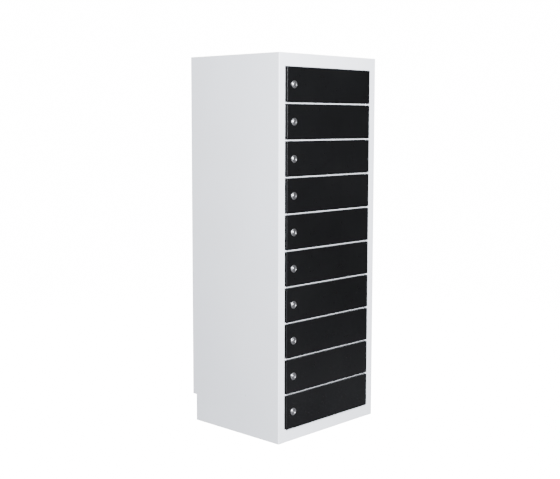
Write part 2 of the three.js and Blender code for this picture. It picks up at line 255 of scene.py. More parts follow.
def piece(obj, material, body=CABINET, nodes=()):
    """Gives a finished piece its material and says what it stands for."""
    obj.data.materials.clear()
    obj.data.materials.append(material)
    smooth(obj)
    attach(obj, body)
    if nodes:
        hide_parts(*nodes)
    return obj


def copy_to(obj, name, offset):
    twin = bpy.data.objects.new(name, obj.data.copy())
    twin.data.transform(Matrix.Translation(offset))
    bpy.context.scene.collection.objects.link(twin)
    return twin


# ---- Materials ----
def new_material(name):
    material = bpy.data.materials.new(name)
    material.use_nodes = True
    return material, material.node_tree.nodes, material.node_tree.links


def noise(nodes, links, scale, detail=2.0):
    """Noise fixed to the object's own coordinates."""
    place = nodes.new("ShaderNodeTexCoord")
    texture = nodes.new("ShaderNodeTexNoise")
    texture.inputs["Scale"].default_value = scale
    texture.inputs["Detail"].default_value = detail
    links.new(place.outputs["Object"], texture.inputs["Vector"])
    return texture


def ramp(nodes, links, source, dark, light):
    """Turns a noise into the colours between dark and light."""
    colours = nodes.new("ShaderNodeValToRGB")
    colours.color_ramp.elements[0].position = 0.35
    colours.color_ramp.elements[0].color = (*dark, 1)
    colours.color_ramp.elements[1].position = 0.65
    colours.color_ramp.elements[1].color = (*light, 1)
    links.new(source, colours.inputs["Fac"])
    return colours.outputs["Color"]


def spread(nodes, links, source, low, high):
    """Turns a noise into values between low and high."""
    values = nodes.new("ShaderNodeMapRange")
    values.inputs["From Min"].default_value = 0.3
    values.inputs["From Max"].default_value = 0.7
    values.inputs["To Min"].default_value = low
    values.inputs["To Max"].default_value = high
    links.new(source, values.inputs["Value"])
    return values.outputs["Result"]


def bump(nodes, links, heights, distance, strength, shader):
    relief = nodes.new("ShaderNodeBump")
    relief.inputs["Strength"].default_value = strength
    relief.inputs["Distance"].default_value = distance
    links.new(heights, relief.inputs["Height"])
    links.new(relief.outputs["Normal"], shader.inputs["Normal"])


def powder_coat(name, dark, light, roughness, specular, peel):
    """Baked paint: orange peel, a slightly uneven gloss and faint large-scale variation."""
    material, nodes, links = new_material(name)
    shader = nodes["Principled BSDF"]
    shader.inputs["Specular IOR Level"].default_value = specular
    tone = noise(nodes, links, 5, 3)
    links.new(ramp(nodes, links, tone.outputs["Fac"], dark, light), shader.inputs["Base Color"])
    gloss = noise(nodes, links, 60, 3)
    links.new(spread(nodes, links, gloss.outputs["Fac"], *roughness), shader.inputs["Roughness"])
    grain = noise(nodes, links, 900, 2)
    bump(nodes, links, grain.outputs["Fac"], 0.05 * MM, peel, shader)
    return material


def metal(name, dark, light, roughness, scale=250):
    """Plated or bare metal with faint mottling and fine scratches in its gloss."""
    material, nodes, links = new_material(name)
    shader = nodes["Principled BSDF"]
    shader.inputs["Metallic"].default_value = 1
    tone = noise(nodes, links, scale, 4)
    links.new(ramp(nodes, links, tone.outputs["Fac"], dark, light), shader.inputs["Base Color"])
    gloss = noise(nodes, links, 3 * scale, 3)
    links.new(spread(nodes, links, gloss.outputs["Fac"], *roughness), shader.inputs["Roughness"])
    bump(nodes, links, gloss.outputs["Fac"], 0.02 * MM, 0.1, shader)
    return material


def plastic(name, dark, light, roughness, scale=1500):
    """Moulded plastic with a fine spark-eroded texture."""
    material, nodes, links = new_material(name)
    shader = nodes["Principled BSDF"]
    tone = noise(nodes, links, 40, 3)
    links.new(ramp(nodes, links, tone.outputs["Fac"], dark, light), shader.inputs["Base Color"])
    grain = noise(nodes, links, scale, 2)
    links.new(spread(nodes, links, grain.outputs["Fac"], *roughness), shader.inputs["Roughness"])
    bump(nodes, links, grain.outputs["Fac"], 0.04 * MM, 0.3, shader)
    return material


# Each takes its darkest and lightest colour, then its range of roughness.
WHITE = powder_coat(
    "white_powder_coat", (0.768, 0.785, 0.825), (0.792, 0.81, 0.85), (0.42, 0.52),
    specular=0.4, peel=0.15,
)
BLACK = powder_coat(
    "black_powder_coat", (0.0020, 0.0020, 0.0022), (0.0030, 0.0030, 0.0032), (0.27, 0.33),
    specular=0.28, peel=0.12,
)
CHROME = metal("chrome_plate", (0.40, 0.40, 0.41), (0.47, 0.47, 0.48), (0.32, 0.40))
ZINC = metal("zinc_plate", (0.42, 0.43, 0.45), (0.56, 0.57, 0.59), (0.32, 0.48))
BRASS = metal("contact_brass", (0.62, 0.46, 0.20), (0.74, 0.56, 0.26), (0.2, 0.3))
ALUMINIUM = metal("case_aluminium", (0.50, 0.51, 0.52), (0.60, 0.61, 0.62), (0.35, 0.5), 120)
BLACK_PLASTIC = plastic("black_plastic", (0.010, 0.010, 0.011), (0.016, 0.016, 0.017), (0.45, 0.6))
WHITE_PLASTIC = plastic("white_plastic", (0.66, 0.66, 0.65), (0.72, 0.72, 0.71), (0.35, 0.45))
CABLE = plastic("cable_sheath", (0.014, 0.014, 0.014), (0.022, 0.022, 0.022), (0.4, 0.5), 500)
# The keyway's material is painted shade: a near-black colour that stands in for the dark inside of the
# keyway.
KEYWAY_SHADE = plastic("keyway_shadow", (0.004, 0.004, 0.004), (0.006, 0.006, 0.006), (0.6, 0.7))
LENS = plastic("lamp_lens", (0.10, 0.42, 0.16), (0.13, 0.50, 0.20), (0.15, 0.25), 300)


# ---- Carcass ----
def side_panel(node, outer, facing, stile):
    """One folded sheet: rear flange, side, the strip of the front and the edge of the opening."""
    path = [
        (outer + facing * REAR_FLANGE, REAR),
        (outer, REAR),
        (outer, FRONT),
        (outer + facing * stile, FRONT),
        (outer + facing * stile, FRONT + REVEAL),
    ]
    if facing < 0:
        path.reverse()
    bm = bmesh.new()
    add_prism(bm, folded(path, SHEET, BEND), 2, 0, HEIGHT)
    panel = new_object(node + "_folded", bm)
    holes = bmesh.new()
    across = sorted((outer - facing * 0.05, outer + facing * (REAR_FLANGE + PAST)))
    add_box(holes, across, (REAR - SKIRTING[0], REAR + PAST), (-PAST, SKIRTING[1]))
    cut(panel, holes)
    if facing > 0:
        hole = bmesh.new()
        centre = (FRONT + SIDE_HOLE["behind_front"], SIDE_HOLE["height"])
        add_prism(hole, disc(SIDE_HOLE["radius"], 24, centre), 0, outer - PAST, outer + PAST)
        cut(panel, hole)
    soften(panel)
    bands = bmesh.new()
    beside = sorted((outer + facing * (stile - BAND_OVERLAP), outer + facing * (stile + PAST)))
    for z in ((-PAST, OPENING_BOTTOM), (OPENING_TOP, HEIGHT + PAST)):
        add_box(bands, beside, (FRONT - PAST, FRONT + 20 * MM), z)
    cut(panel, bands)
    return piece(panel, WHITE, nodes=[node])


def band_ends():
    """The two stretches in X that the bands above and below the doors leave to the side panels."""
    return ((LEFT - PAST, OPENING_LEFT - BAND_OVERLAP), (OPENING_RIGHT + BAND_OVERLAP, RIGHT + PAST))


def rod_room(bm, low, high):
    """The hole that the hinge rod passes through, from low to high."""
    add_prism(bm, disc(ROD_HOLE_RADIUS, 24, (HINGE_X, HINGE_Y)), 2, low, high)


def top_panel():
    """Front band, roof and rear flange in one sheet, with the underside of the band folded back."""
    path = [
        (FRONT + REVEAL, OPENING_TOP),
        (FRONT, OPENING_TOP),
        (FRONT, HEIGHT),
        (REAR, HEIGHT),
        (REAR, HEIGHT - REAR_FLANGE),
    ]
    bm = bmesh.new()
    add_prism(bm, folded(path[::-1], SHEET, TIGHT_BEND), 0, INNER_LEFT, INNER_RIGHT)
    roof = new_object("top_panel_folded", bm)
    holes = bmesh.new()
    for x in band_ends():
        add_box(holes, x, (FRONT - PAST, FRONT + 3 * MM), (OPENING_TOP - PAST, HEIGHT + PAST))
    for x in ((LEFT - PAST, OPENING_LEFT), (OPENING_RIGHT, RIGHT + PAST)):
        add_box(holes, x, (FRONT + 3.1 * MM, FRONT + 20 * MM), (OPENING_TOP - PAST, HEIGHT - 3 * MM))
    for x in ((LEFT - PAST, LEFT + REAR_FLANGE), (RIGHT - REAR_FLANGE, RIGHT + PAST)):
        add_box(holes, x, (REAR - 1.5 * MM, REAR + PAST), (OPENING_TOP - PAST, HEIGHT + PAST))
    rod_room(holes, OPENING_TOP - PAST, OPENING_TOP + 2.2 * MM)
    cut(roof, holes)
    return piece(roof, WHITE, nodes=["top_panel"])


def base_panel():
    """Lowest compartment's floor, the band below the doors, the foot and the stepped kick plate."""
    kick = REAR - SKIRTING[0]
    front_path = [
        (FRONT + 20 * MM, 0),
        (FRONT, 0),
        (FRONT, OPENING_BOTTOM),
        (kick, OPENING_BOTTOM),
    ]
    rear_path = [
        (kick - 20 * MM, 0),
        (kick, 0),
        (kick, SKIRTING[1]),
        (COVER_HI[1], SKIRTING[1]),
    ]
    bm = bmesh.new()
    add_prism(bm, folded(front_path[::-1], SHEET, TIGHT_BEND), 0, INNER_LEFT, INNER_RIGHT)
    base = new_object("base_panel_folded", bm)
    holes = bmesh.new()
    for x in band_ends():
        add_box(holes, x, (FRONT - PAST, FRONT + REVEAL + 0.5 * MM), (-PAST, OPENING_BOTTOM + PAST))
    rod_room(holes, OPENING_BOTTOM - 2.2 * MM, OPENING_BOTTOM + PAST)
    cut(base, holes)
    piece(base, WHITE, nodes=["base_panel"])
    bm = bmesh.new()
    add_prism(bm, folded(rear_path, SHEET, BEND), 0, INNER_LEFT, INNER_RIGHT)
    piece(new_object("kick_plate", bm), WHITE)


def partition_panel():
    """Sheet behind the compartments, with a window for each outlet."""
    bm = bmesh.new()
    add_box(bm, (INNER_LEFT, INNER_RIGHT), (WALL_LO[1], WALL_HI[1]), (OPENING_BOTTOM, HEIGHT - SHEET))
    wall = new_object("partition_sheet", bm)
    windows = bmesh.new()
    for number in TWO_DIGITS:
        centre = middle("usb_socket_" + number)
        window = rounded_rectangle(19.3 * MM, 9.3 * MM, 1 * MM, (centre[0], centre[2]))
        add_prism(windows, window, 1, WALL_LO[1] - PAST, WALL_HI[1] + PAST)
    cut(wall, windows)
    return piece(wall, WHITE, nodes=["partition_panel"])


def slot_outline(half_length, half_height, centre):
    """A slot with round ends."""
    return rounded_rectangle(half_length, half_height, half_height - 0.01 * MM, centre)


def back_panel():
    """Rear cover with ventilation slots, two wall fixing holes and the inlet's window."""
    bm = bmesh.new()
    add_box(bm, (COVER_LO[0], COVER_HI[0]), (COVER_LO[1], COVER_HI[1]), (COVER_LO[2], COVER_HI[2]))
    cover = new_object("rear_cover", bm)
    holes = bmesh.new()
    through = (COVER_LO[1] - PAST, COVER_HI[1] + PAST)
    slot_half = (30 * MM, 2 * MM)
    slot_rows, slot_pitch = 8, 12 * MM
    for side in (-1, 1):
        for lowest in (180 * MM, 800 * MM):
            for row in range(slot_rows):
                centre = (side * 80 * MM, lowest + row * slot_pitch + slot_half[1])
                add_prism(holes, slot_outline(*slot_half, centre), 1, *through)
        wall_fixing = disc(3.5 * MM, 24, (side * 140 * MM, 950 * MM))
        add_prism(holes, wall_fixing, 1, *through)
    inlet = middle("mains_inlet")
    inlet_window = rounded_rectangle(15.3 * MM, 11.3 * MM, 1 * MM, (inlet[0], inlet[2]))
    add_prism(holes, inlet_window, 1, *through)
    cut(cover, holes)
    soften(cover, 0.25 * MM, 1)
    return piece(cover, WHITE, nodes=["back_panel"])


def pan_screw(name, centre, radius, facing, material, body=CABINET):
    """A cross-recess pan head on a face that looks along -Y (facing -1) or +Y (facing 1)."""
    height = 0.55 * radius
    profile = [(0, 0)]
    for step in range(7):
        angle = math.radians(90 * step / 6)
        profile.append((radius * math.cos(angle), facing * height * (0.35 + 0.65 * math.sin(angle))))
    profile.insert(1, (radius, 0))
    bm = bmesh.new()
    add_lathe(bm, profile, centre, 24)
    head = new_object(name, bm)
    cross = bmesh.new()
    mouth = centre[1] + facing * height
    depth = sorted((mouth - facing * 0.6 * height, mouth + facing * height))
    arm, width = 0.55 * radius, 0.11 * radius
    cross_outline = [
        (-arm, -width), (-width, -width), (-width, -arm), (width, -arm), (width, -width), (arm, -width),
        (arm, width), (width, width), (width, arm), (-width, arm), (-width, width), (-arm, width),
    ]
    outline = [(centre[0] + x, centre[2] + z) for x, z in cross_outline]
    add_prism(cross, outline, 1, *depth)
    cut(head, cross)
    return piece(head, material, body)


def cover_screws():
    """Four screws up each side of the rear cover, through the side panels' rear flanges."""
    inset, lowest, pitch = 10 * MM, 110 * MM, 280 * MM
    for side, x in (("left", LEFT + inset), ("right", RIGHT - inset)):
        for level in range(4):
            z = lowest + level * pitch
            name = f"cover_screw_{side}_{level + 1}"
            pan_screw(name, (x, REAR, z), 3.2 * MM, 1, ZINC)


def hinge_rod():
    bm = bmesh.new()
    add_prism(bm, disc(ROD_RADIUS, 32, (HINGE_X, HINGE_Y)), 2, ROD_LO[2], ROD_HI[2])
    rod = new_object("hinge_rod_turned", bm)
    soften(rod, 0.3 * MM)
    return piece(rod, ZINC, nodes=["hinge_rod"])


def shelf_pieces():
    """The first shelf's shape, repeated: floor sheet, rolled front lip and a flange down each side."""
    low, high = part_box("shelf_01")
    path = [
        (high[1], high[2]),
        (FRONT, high[2]),
        (FRONT, high[2] - LIP_HEIGHT),
        (FRONT + LIP_DEPTH, high[2] - LIP_HEIGHT),
    ]
    bm = bmesh.new()
    add_prism(bm, folded(path, SHEET, 1.35 * MM), 0, low[0], high[0])
    shelf = new_object("shelf_sheet_01", bm)
    holes = bmesh.new()
    behind = FRONT + REVEAL + 0.3 * MM
    for x in ((low[0] - PAST, OPENING_LEFT), (OPENING_RIGHT, high[0] + PAST)):
        add_box(holes, x, (FRONT - PAST, behind), (low[2] - PAST, high[2] + PAST))
    notch = (HINGE_X - 2.6 * MM, HINGE_X + 2.6 * MM)
    add_box(holes, notch, (FRONT - PAST, HINGE_Y + ROD_RADIUS + 0.3 * MM), (low[2] - PAST, high[2] + PAST))
    cut(shelf, holes)
    flanges = bmesh.new()
    flanges.from_mesh(shelf.data)
    for x in ((low[0], low[0] + SHEET), (high[0] - SHEET, high[0])):
        add_box(flanges, x, (behind + 1 * MM, high[1]), (low[2], high[2] - SHEET))
    flanges.to_mesh(shelf.data)
    flanges.free()
    for number in TWO_DIGITS[1:-1]:
        offset = Vector(middle("shelf_" + number)) - Vector(middle("shelf_01"))
        twin = copy_to(shelf, "shelf_sheet_" + number, offset)
        piece(twin, WHITE, nodes=["shelf_" + number])
    return piece(shelf, WHITE, nodes=["shelf_01"])


# ---- Doors ----
def door_tray(name, node, lock_centre):
    """A folded tray with rounded front edges. Its flanges stop short of the corners."""
    low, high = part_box(node)
    radius = 0.9 * MM
    relief = 2.4 * MM
    centre = ((low[0] + high[0]) / 2, (low[2] + high[2]) / 2)
    half = ((high[0] - low[0]) / 2, (high[2] - low[2]) / 2)
    steps = 5
    bm = bmesh.new()
    rings = []
    for step in range(steps + 1):
        angle = math.radians(90 * step / steps)
        inset = radius * (1 - math.sin(angle))
        depth = radius * (1 - math.cos(angle))
        corner = radius + 0.1 * MM - inset
        outline = rounded_rectangle(half[0] - inset, half[1] - inset, corner, centre)
        rings.append([bm.verts.new((x, low[1] + depth, z)) for x, z in outline])
    count = len(rings[0])
    for near, far in zip(rings, rings[1:]):
        for point in range(count):
            after = (point + 1) % count
            bm.faces.new([near[point], near[after], far[after], far[point]])
    bm.faces.new(rings[0])
    level = low[1] + radius
    x_ends = (low[0] + relief, high[0] - relief)
    z_ends = (low[2] + relief, high[2] - relief)
    flanges = [[(x, z) for x in x_ends] for z in (low[2], high[2])]
    flanges += [[(x, z) for z in z_ends] for x in (low[0], high[0])]
    for (x0, z0), (x1, z1) in flanges:
        corners = [(x0, level, z0), (x1, level, z1), (x1, high[1], z1), (x0, high[1], z0)]
        bm.faces.new([bm.verts.new(point) for point in corners])
    tray = new_object(name, bm)
    for polygon in tray.data.polygons:
        outward = Vector((polygon.center.x - centre[0], -1, polygon.center.z - centre[1]))
        if polygon.center.y > level + 1 * MM:
            outward.y = 0
        if polygon.normal.dot(outward) < 0:
            polygon.flip()
    shell = tray.modifiers.new("thickness", "SOLIDIFY")
    shell.thickness = SHEET - 0.01 * MM
    shell.offset = -1
    shell.use_even_offset = True
    bake(tray)
    holes = bmesh.new()
    lock_hole = disc(8.2 * MM, 32, (lock_centre[0], lock_centre[2]))
    add_prism(holes, lock_hole, 1, low[1] - PAST, low[1] + 3 * MM)
    cut(tray, holes)
    rod_hole = bmesh.new()
    rod_room(rod_hole, low[2] - PAST, high[2] + PAST)
    cut(tray, rod_hole)
    return tray


# ---- Cam locks ----
BEZEL_RADIUS = 10 * MM
BARREL_RADIUS = 8 * MM
BORE = 5.7 * MM
PLUG_RADIUS = 5.4 * MM


def lock_bezel(name, centre, front, back, rear):
    """Domed bezel on a threaded barrel."""
    profile = [(BORE, rear), (BORE, front + 0.5 * MM), (BORE + 0.35 * MM, front + 0.1 * MM)]
    profile += [(BORE + 0.8 * MM, front), (BEZEL_RADIUS - 2.4 * MM, front + 0.05 * MM)]
    rim = (BEZEL_RADIUS - 2.2 * MM, back - 0.5 * MM)
    for step in range(8):
        angle = math.radians(10 + 80 * step / 7)
        radius = rim[0] + 2.2 * MM * math.sin(angle)
        profile.append((radius, rim[1] - (rim[1] - front) * math.cos(angle)))
    profile += [(BEZEL_RADIUS, back), (BARREL_RADIUS, back)]
    pitch = 1 * MM
    threads = int((rear - back - 1 * MM) / pitch)
    for turn in range(threads):
        start = back + 0.4 * MM + turn * pitch
        profile.append((BARREL_RADIUS, start))
        profile.append((BARREL_RADIUS - 0.45 * MM, start + pitch / 2))
    profile += [(BARREL_RADIUS, rear - 0.4 * MM), (BARREL_RADIUS - 0.4 * MM, rear)]
    bm = bmesh.new()
    add_lathe(bm, profile, (centre[0], 0, centre[2]), 64)
    return new_object(name, bm)


def lock_nut(name, centre, front, height):
    """Hexagonal nut that holds the barrel in the door."""
    across = 21.6 * MM
    bm = bmesh.new()
    outline = disc(across / math.sqrt(3), 6, (centre[0], centre[2]))
    add_prism(bm, outline, 1, front, front + height)
    nut = new_object(name, bm)
    bore = bmesh.new()
    room = disc(BARREL_RADIUS - 0.2 * MM, 32, (centre[0], centre[2]))
    add_prism(bore, room, 1, front - PAST, front + height + PAST)
    cut(nut, bore)
    soften(nut, 0.6 * MM, 2)
    return nut


def lock_key_plug(name, centre, front, rear):
    """The plug's face is slightly dished and has a stepped keyway."""
    profile = [(0, rear), (0, front + 0.15 * MM), (2.6 * MM, front + 0.1 * MM)]
    profile += [(PLUG_RADIUS - 0.5 * MM, front), (PLUG_RADIUS, front + 0.4 * MM), (PLUG_RADIUS, rear)]
    bm = bmesh.new()
    add_lathe(bm, profile, (centre[0], 0, centre[2]), 48)
    plug = new_object(name, bm)
    slot = bmesh.new()
    x, z = centre[0], centre[2]
    outline = [(-0.55, -3.6), (0.75, -3.6), (0.75, -0.6), (0.35, -0.2), (0.35, 1.2), (0.75, 1.6), (0.75, 3.6),
               (-0.75, 3.6), (-0.75, 0.4), (-0.55, 0.2)]
    points = [(x + side * MM, z + up * MM) for side, up in outline]
    add_prism(slot, points, 1, front - PAST, front + 8 * MM)
    cut(plug, slot)
    return plug


def keyway_shade_plate(name, centre, front):
    """Dark plate across the keyway, a little behind the plug's face. It is painted shade: it stands in for
    the dark inside of the keyway.
    """
    bm = bmesh.new()
    add_box(bm, (centre[0] - 1 * MM, centre[0] + 1 * MM), (front + 1.2 * MM, front + 1.6 * MM),
            (centre[2] - 3.9 * MM, centre[2] + 3.9 * MM))
    return new_object(name, bm)


def lock_cam(name, centre, front, rear, low):
    """A stamped cam that hangs down from the plug when the lock is open."""
    half = 6 * MM
    tip = centre[2] - low
    head = 7.5 * MM
    shoulder = -4 * MM
    corner = 3 * MM
    outline = []
    for step in range(17):
        angle = math.pi * step / 16
        outline.append((head * math.cos(angle), head * math.sin(angle)))
    outline.append((-half, shoulder))
    for side, first in ((-1, 180), (1, 270)):
        middle_x = side * (half - corner)
        for step in range(7):
            angle = math.radians(first + 90 * step / 6)
            outline.append((middle_x + corner * math.cos(angle), -tip + corner + corner * math.sin(angle)))
    outline.append((half, shoulder))
    bm = bmesh.new()
    add_prism(bm, [(centre[0] + x, centre[2] + z) for x, z in outline], 1, front, rear)
    cam = new_object(name, bm)
    soften(cam, 0.3 * MM)
    return cam


def door_and_lock(number):
    door_node, body_node, plug_node = ("door_" + number, "lock_body_" + number, "lock_plug_" + number)
    door_body, lock_body = "door_" + number, "lock_" + number
    body_low, body_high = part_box(body_node)
    plug_low, plug_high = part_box(plug_node)
    centre = middle(body_node)
    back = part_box(door_node)[0][1] - 0.1 * MM
    tray = door_tray("door_tray_" + number, door_node, centre)
    piece(tray, BLACK, door_body, [door_node])
    bezel = lock_bezel("lock_bezel_" + number, centre, body_low[1], back, body_high[1])
    piece(bezel, CHROME, door_body, [body_node])
    nut_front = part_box(door_node)[0][1] + SHEET + 0.1 * MM
    piece(lock_nut("lock_nut_" + number, centre, nut_front, 4 * MM), ZINC, door_body)
    cam_rear = plug_high[1] - 2.5 * MM
    cam_front = cam_rear - 2 * MM
    plug = lock_key_plug("lock_key_plug_" + number, centre, plug_low[1], cam_front)
    piece(plug, CHROME, lock_body, [plug_node])
    # A near-black plate just behind the keyway's mouth gives the keyway painted shade.
    liner = keyway_shade_plate("lock_keyway_shade_" + number, centre, plug_low[1])
    piece(liner, KEYWAY_SHADE, lock_body)
    cam = lock_cam("lock_cam_" + number, centre, cam_front, cam_rear, plug_low[2])
    piece(cam, ZINC, lock_body)
    screw_centre = (centre[0], cam_rear, centre[2])
    pan_screw("lock_cam_screw_" + number, screw_centre, 4.5 * MM, 1, ZINC, lock_body)


# ---- Charging ----
PORT_OFFSET = 9.5 * MM  # from the middle of an outlet to the middle of each port
PORT_OUTSIDE = (6.5 * MM, 2.8 * MM, 0.5 * MM)  # half width, half height and corner of a port's shell
PORT_INSIDE = (6.1 * MM, 2.4 * MM, 0.3 * MM)
PORT_DEPTH = 12 * MM


def usb_socket(number):
    """Twin outlet: moulded plate and body, two metal shells with their tongues, a lamp and two screws."""
    node = "usb_socket_" + number
    low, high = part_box(node)
    x, _, z = middle(node)
    plate_rear = low[1] + 2 * MM
    bm = bmesh.new()
    add_prism(bm, rounded_rectangle(26 * MM, 14 * MM, 3 * MM, (x, z)), 1, low[1], plate_rear)
    plate = new_object("usb_plate_" + number, bm)
    housing_mesh = bmesh.new()
    ports = bmesh.new()
    for side in (-1, 1):
        outer = rounded_rectangle(*PORT_OUTSIDE, (x + side * PORT_OFFSET, z))
        add_prism(ports, outer, 1, low[1] - PAST, low[1] + PORT_DEPTH)
    add_prism(housing_mesh, rounded_rectangle(19 * MM, 9 * MM, 1 * MM, (x, z)), 1, plate_rear, high[1])
    housing = new_object("usb_housing_" + number, housing_mesh)
    cut(plate, ports.copy())
    cut(housing, ports)
    soften(plate, 0.5 * MM, 3)
    piece(plate, BLACK_PLASTIC, nodes=[node])
    piece(housing, BLACK_PLASTIC)
    for side, word in ((-1, "left"), (1, "right")):
        centre = (x + side * PORT_OFFSET, z)
        shell = bmesh.new()
        outer = rounded_rectangle(*PORT_OUTSIDE, centre)
        add_prism(shell, outer, 1, low[1] + 0.1 * MM, low[1] + PORT_DEPTH - 0.1 * MM)
        liner = new_object(f"usb_shell_{word}_{number}", shell)
        inside = bmesh.new()
        tongue_rear = low[1] + PORT_DEPTH - 0.5 * MM
        add_prism(inside, rounded_rectangle(*PORT_INSIDE, centre), 1, low[1] - PAST, tongue_rear)
        cut(liner, inside)
        piece(liner, ZINC)
        tongue = bmesh.new()
        across = (centre[0] - 5.2 * MM, centre[0] + 5.2 * MM)
        add_box(tongue, across, (low[1] + 2 * MM, tongue_rear), (z - 0.3 * MM, z + 1.4 * MM))
        piece(new_object(f"usb_tongue_{word}_{number}", tongue), WHITE_PLASTIC)
        contacts = bmesh.new()
        for step in (-3.5, -1, 1, 3.5):
            pad = (centre[0] + (step - 0.5) * MM, centre[0] + (step + 0.5) * MM)
            add_box(contacts, pad, (low[1] + 3 * MM, low[1] + 11 * MM), (z - 0.5 * MM, z - 0.3 * MM))
        piece(new_object(f"usb_contacts_{word}_{number}", contacts), BRASS)
        head = (x + side * 22 * MM, low[1] + 0.05 * MM, z)
        pan_screw(f"usb_screw_{word}_{number}", head, 1.6 * MM, -1, ZINC)
    lamp = bmesh.new()
    dome = [(0, 0), (1.3, 0), (1.1, -0.4), (0.6, -0.65), (0, -0.75)]
    dome = [(radius * MM, depth * MM) for radius, depth in dome]
    add_lathe(lamp, dome, (x, low[1] + 0.05 * MM, z + 8 * MM), 20)
    piece(new_object("usb_lamp_" + number, lamp), LENS)


def power_supply():
    """Folded case with a perforated cover and a terminal block at its foot."""
    bm = bmesh.new()
    add_box(bm, *zip(SUPPLY_LO, SUPPLY_HI))
    case = new_object("power_supply_case", bm)
    holes = bmesh.new()
    columns, rows, pitch = 9, 10, 10 * MM
    for column in range(columns):
        for row in range(rows):
            centre = (SUPPLY_LO[0] + 15 * MM + column * pitch, SUPPLY_LO[2] + 60 * MM + row * pitch)
            add_prism(holes, disc(2.6 * MM, 12, centre), 1, SUPPLY_HI[1] - 1.5 * MM, SUPPLY_HI[1] + PAST)
    cut(case, holes)
    soften(case, 0.6 * MM)
    piece(case, ALUMINIUM, nodes=["power_supply"])
    block = bmesh.new()
    height = (SUPPLY_LO[2] + 8 * MM, SUPPLY_LO[2] + 24 * MM)
    for terminal in range(7):
        x = SUPPLY_LO[0] + (15 + 11 * terminal) * MM
        add_box(block, (x, x + 9.5 * MM), (SUPPLY_HI[1], SUPPLY_HI[1] + 4 * MM), height)
    piece(new_object("power_supply_terminals", block), BLACK_PLASTIC)


def mains_inlet():
    """Flanged inlet whose upper corners are cut off, with three pins in its hollow."""
    x, _, z = middle("mains_inlet")
    mouth = INLET_HI[1]
    floor_of_hollow = mouth - 18 * MM
    flange_rear = COVER_LO[1] - 0.1 * MM
    bm = bmesh.new()
    plate = rounded_rectangle(25 * MM, 13.5 * MM, 3 * MM, (x, z))
    add_prism(bm, plate, 1, flange_rear - 2.5 * MM, flange_rear)
    flange = new_object("inlet_flange", bm)
    soften(flange, 0.4 * MM)
    shape = [(-15, -11), (15, -11), (15, 5.5), (9.5, 11), (-9.5, 11), (-15, 5.5)]
    hollow = [(-12.4, -8.4), (12.4, -8.4), (12.4, 3.6), (7.6, 8.4), (-7.6, 8.4), (-12.4, 3.6)]
    body = bmesh.new()
    add_prism(body, [(x + a * MM, z + b * MM) for a, b in shape], 1, INLET_LO[1], mouth)
    shell = new_object("inlet_body", body)
    room = bmesh.new()
    add_prism(room, [(x + a * MM, z + b * MM) for a, b in hollow], 1, floor_of_hollow, mouth + PAST)
    cut(shell, room)
    soften(shell, 0.4 * MM)
    piece(shell, BLACK_PLASTIC, nodes=["mains_inlet"])
    piece(flange, BLACK_PLASTIC)
    for word, dx, dz in (("left", -7, -1.5), ("middle", 0, 2.5), ("right", 7, -1.5)):
        pin = bmesh.new()
        outline = rounded_rectangle(1 * MM, 2.5 * MM, 0.5 * MM, (x + dx * MM, z + dz * MM))
        add_prism(pin, outline, 1, floor_of_hollow, mouth - 5 * MM)
        piece(new_object("inlet_pin_" + word, pin), ZINC)


def cable(name, points, radius, nodes=()):
    """A round cable through the points."""
    curve = bpy.data.curves.new(name, "CURVE")
    curve.dimensions = "3D"
    curve.bevel_depth = radius
    curve.bevel_resolution = 4
    curve.use_fill_caps = True
    spline = curve.splines.new("POLY")
    spline.points.add(len(points) - 1)
    for target, point in zip(spline.points, points):
        target.co = (*point, 1)
    source = bpy.data.objects.new(name + "_curve", curve)
    bpy.context.scene.collection.objects.link(source)
    graph = bpy.context.evaluated_depsgraph_get()
    mesh = bpy.data.meshes.new_from_object(source.evaluated_get(graph))
    bpy.data.objects.remove(source)
    obj = bpy.data.objects.new(name, mesh)
    bpy.context.scene.collection.objects.link(obj)
    return piece(obj, CABLE, nodes=nodes)


def wiring():
    """Trunk up the void with a branch and a tie at each outlet, the feed, and the mains lead."""
    low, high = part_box("wiring_loom")
    x, y = low[0] + 4 * MM, (low[1] + high[1]) / 2
    turn = 8 * MM
    cable("loom_trunk", [(x, y, low[2]), (x, y, high[2])], 4 * MM, ["wiring_loom"])
    for number in TWO_DIGITS:
        node = "usb_socket_" + number
        end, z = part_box(node)[0][0] + 7 * MM, middle(node)[2]
        bend = []
        for step in range(7):
            angle = math.radians(90 * step / 6)
            bend.append((x + turn * (1 - math.cos(angle)), y, z - turn * (1 - math.sin(angle))))
        cable("loom_branch_" + number, [*bend, (end, y, z)], 2.3 * MM)
        band = bmesh.new()
        add_prism(band, disc(4.7 * MM, 24, (x, y)), 2, z - 14 * MM, z - 10 * MM)
        piece(new_object("loom_tie_" + number, band), WHITE_PLASTIC)
    feed_z = SUPPLY_LO[2] + 15 * MM
    cable("loom_feed", [(x, y, feed_z), (SUPPLY_LO[0], y, feed_z)], 3.8 * MM)
    x, y, _ = middle("mains_lead")
    cable("mains_lead_cable", [(x, y, LEAD_LO[2]), (x, y, LEAD_HI[2])], 3.5 * MM, ["mains_lead"])


